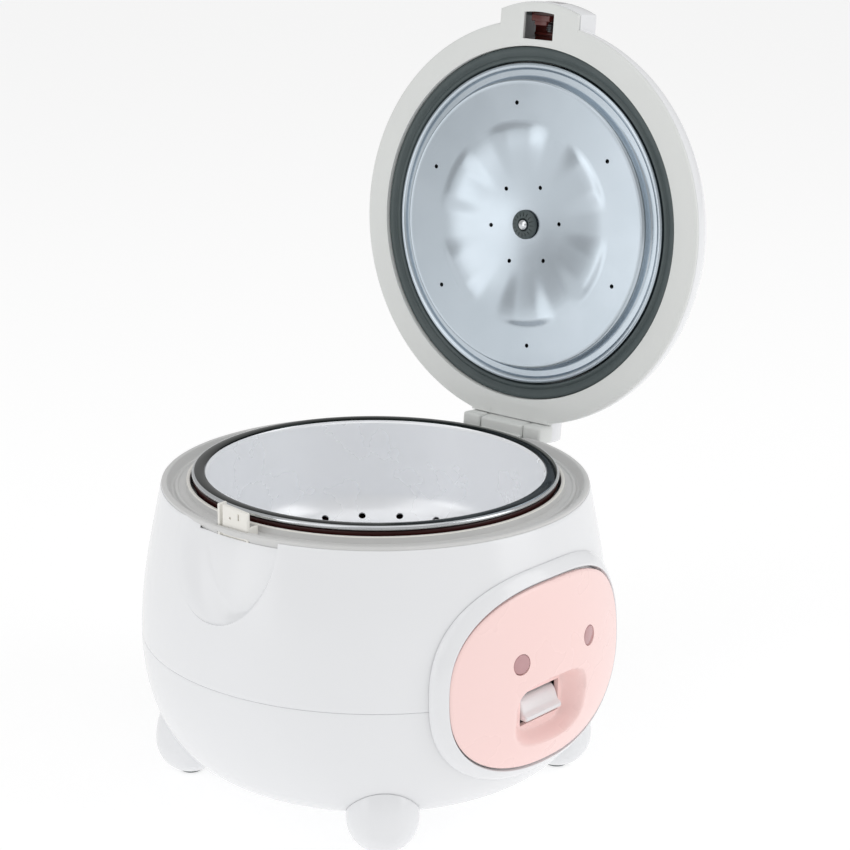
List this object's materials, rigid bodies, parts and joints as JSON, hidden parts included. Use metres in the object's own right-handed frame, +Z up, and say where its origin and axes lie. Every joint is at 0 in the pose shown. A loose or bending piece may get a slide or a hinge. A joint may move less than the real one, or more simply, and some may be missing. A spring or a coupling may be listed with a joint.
{
  "type": "rice cooker",
  "caption": "Small round rice cooker with a hinged domed lid, lift-out pot and steam tray, a face panel with a cook lever, and egg-shaped feet.",
  "frame": {"origin": "centre of the flat underside of the base cover, on the axis of the pot", "axes": "+Z up along the pot axis, +X towards the lid hinge, -Y close to the face panel, which is turned 3 degrees from it"},
  "size_m": [0.2478, 0.207, 0.3331],
  "materials": {
    "white_gloss_plastic": "glossy moulded white",
    "light_grey_plastic": "satin moulded light grey",
    "pink_gloss_plastic": "glossy pale pink",
    "dusty_pink_lens": "tinted smooth lens",
    "off_white_nylon": "natural moulded",
    "dark_rubber": "dark smooth silicone rubber",
    "wine_red_plastic": "dark red moulded",
    "satin_aluminium": "satin pressed",
    "steel": "plain zinc plated or rolled",
    "polished_steel": "polished stainless",
    "wine_red_coating": "dark wine-red non-stick coating on aluminium",
    "black_plastic": "black moulded",
    "green_board": "green solder resist"
  },
  "bodies": {
    "body": {"upper_housing": "white_gloss_plastic", "lower_housing": "white_gloss_plastic", "deck_ring": "light_grey_plastic", "catch_post": "off_white_nylon", "face_bezel": "white_gloss_plastic", "face_panel": "pink_gloss_plastic", "warm_lens": "dusty_pink_lens", "cook_lens": "dusty_pink_lens", "warm_lamp": "dusty_pink_lens", "cook_lamp": "dusty_pink_lens", "lamp_board": "green_board", "lever_pin": "steel", "lever_stand": "steel", "foot_1": "white_gloss_plastic", "foot_2": "white_gloss_plastic", "foot_3": "white_gloss_plastic", "foot_4": "white_gloss_plastic", "foot_pad_1": "dark_rubber", "foot_pad_2": "dark_rubber", "foot_pad_3": "dark_rubber", "foot_pad_4": "dark_rubber", "base_cover": "white_gloss_plastic", "base_screw_1": "steel", "base_screw_2": "steel", "base_screw_3": "steel", "base_screw_4": "steel", "power_inlet": "black_plastic", "micro_switch": "black_plastic", "inner_can": "steel", "heating_plate": "satin_aluminium", "spring_cup": "steel", "sensor_spring": "steel", "hinge_bracket": "light_grey_plastic", "hinge_pin": "steel"},
    "lid": {"lid_outer": "white_gloss_plastic", "lid_pan": "light_grey_plastic", "lid_gasket": "dark_rubber", "plate_post": "polished_steel", "latch_pin": "steel", "latch_guide": "wine_red_plastic", "latch_spring": "steel", "lid_spring": "steel"},
    "latch": {"latch_rocker": "wine_red_plastic"},
    "vent": {"steam_vent_cap": "white_gloss_plastic"},
    "plate": {"inner_plate": "satin_aluminium", "plate_grommet": "dark_rubber"},
    "pot": {"inner_pot": "wine_red_coating"},
    "tray": {"steam_tray": "polished_steel"},
    "lever": {"lever_key": "white_gloss_plastic", "lever_arm": "steel"},
    "magnet": {"magnet": "black_plastic"},
    "sensor": {"sensor_cup": "satin_aluminium"}
  },
  "joints": [
    {"name": "lid_hinge", "type": "hinge", "parent": "body", "child": "lid", "pos_m": [0.095, 0, 0.1262], "axis": [0, 1, 0], "range_deg": [-95, 0], "stiffness_Nm_per_rad": 0.05},
    {"name": "latch_rock", "type": "hinge", "parent": "lid", "child": "latch", "pos_m": [0.12046, 0, 0.3151], "axis": [0, 1, 0], "range_deg": [0, 14], "stiffness_Nm_per_rad": 0.2},
    {"name": "vent_pull", "type": "slide", "parent": "lid", "child": "vent", "axis": [0.9962, 0, -0.0872], "range_m": [0, 0.014]},
    {"name": "plate_pull", "type": "slide", "parent": "lid", "child": "plate", "axis": [-0.9962, 0, 0.0872], "range_m": [0, 0.014]},
    {"name": "pot_lift", "type": "slide", "parent": "body", "child": "pot", "axis": [0, 0, 1], "range_m": [0, 0.1]},
    {"name": "tray_lift", "type": "slide", "parent": "pot", "child": "tray", "axis": [0, 0, 1], "range_m": [0, 0.06]},
    {"name": "lever_tilt", "type": "hinge", "parent": "body", "child": "lever", "pos_m": [-0.00335, -0.06391, 0.02], "axis": [0.9986, -0.0523, 0], "range_deg": [0, 3.5], "stiffness_Nm_per_rad": 0.6, "springref_deg": -5.73},
    {"name": "magnet_slide", "type": "slide", "parent": "body", "child": "magnet", "axis": [0, 0, 1], "range_m": [0, 0.0045]},
    {"name": "sensor_press", "type": "slide", "parent": "body", "child": "sensor", "axis": [0, 0, 1], "range_m": [-0.002, 0], "stiffness_N_per_m": 900, "springref_m": 0.002, "deforming": ["sensor_spring"]}
  ],
  "couplings": [
    {"joint": "magnet_slide", "follows": "lever_tilt", "m_per_rad": 0.071}
  ]
}
